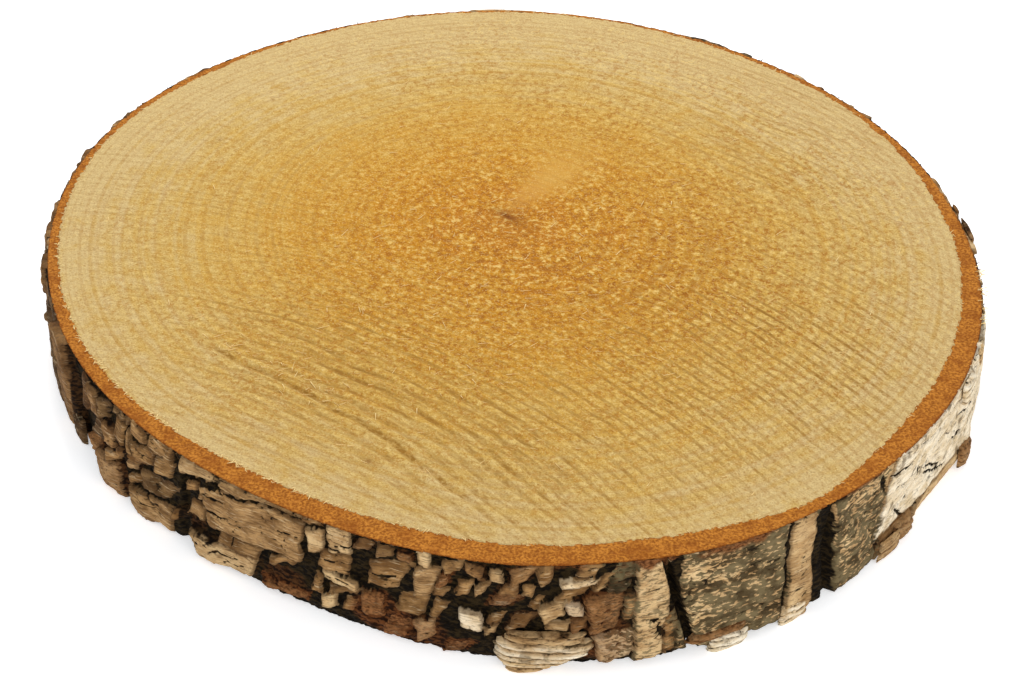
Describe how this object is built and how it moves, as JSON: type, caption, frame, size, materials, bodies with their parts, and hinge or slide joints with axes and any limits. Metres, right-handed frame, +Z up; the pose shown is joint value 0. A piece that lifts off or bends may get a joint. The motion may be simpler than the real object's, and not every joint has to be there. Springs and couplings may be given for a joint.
{
  "type": "wood slice",
  "caption": "Round slab of birch sawn straight across a trunk, with flat faces and its rough bark left on; a rustic base, plaque or display board.",
  "frame": {"origin": "middle of the flat underside, under the middle of the slice's box", "axes": "+Z up through the slice's thickness, from the underside to the sawn top; +X to the right and +Y away, seen from the side with the widest band of inner bark"},
  "size_m": [0.302, 0.3116, 0.037],
  "materials": {
    "sawn_wood": "matte rough-sawn end grain, straw edge to golden orange heart",
    "inner_bark": "matte granular orange-brown inner bark",
    "outer_bark": "matte furrowed birch bark, cream and taupe plates between near-black splits"
  },
  "bodies": {
    "root": {"wood_slice": "sawn_wood"}
  },
  "joints": []
}
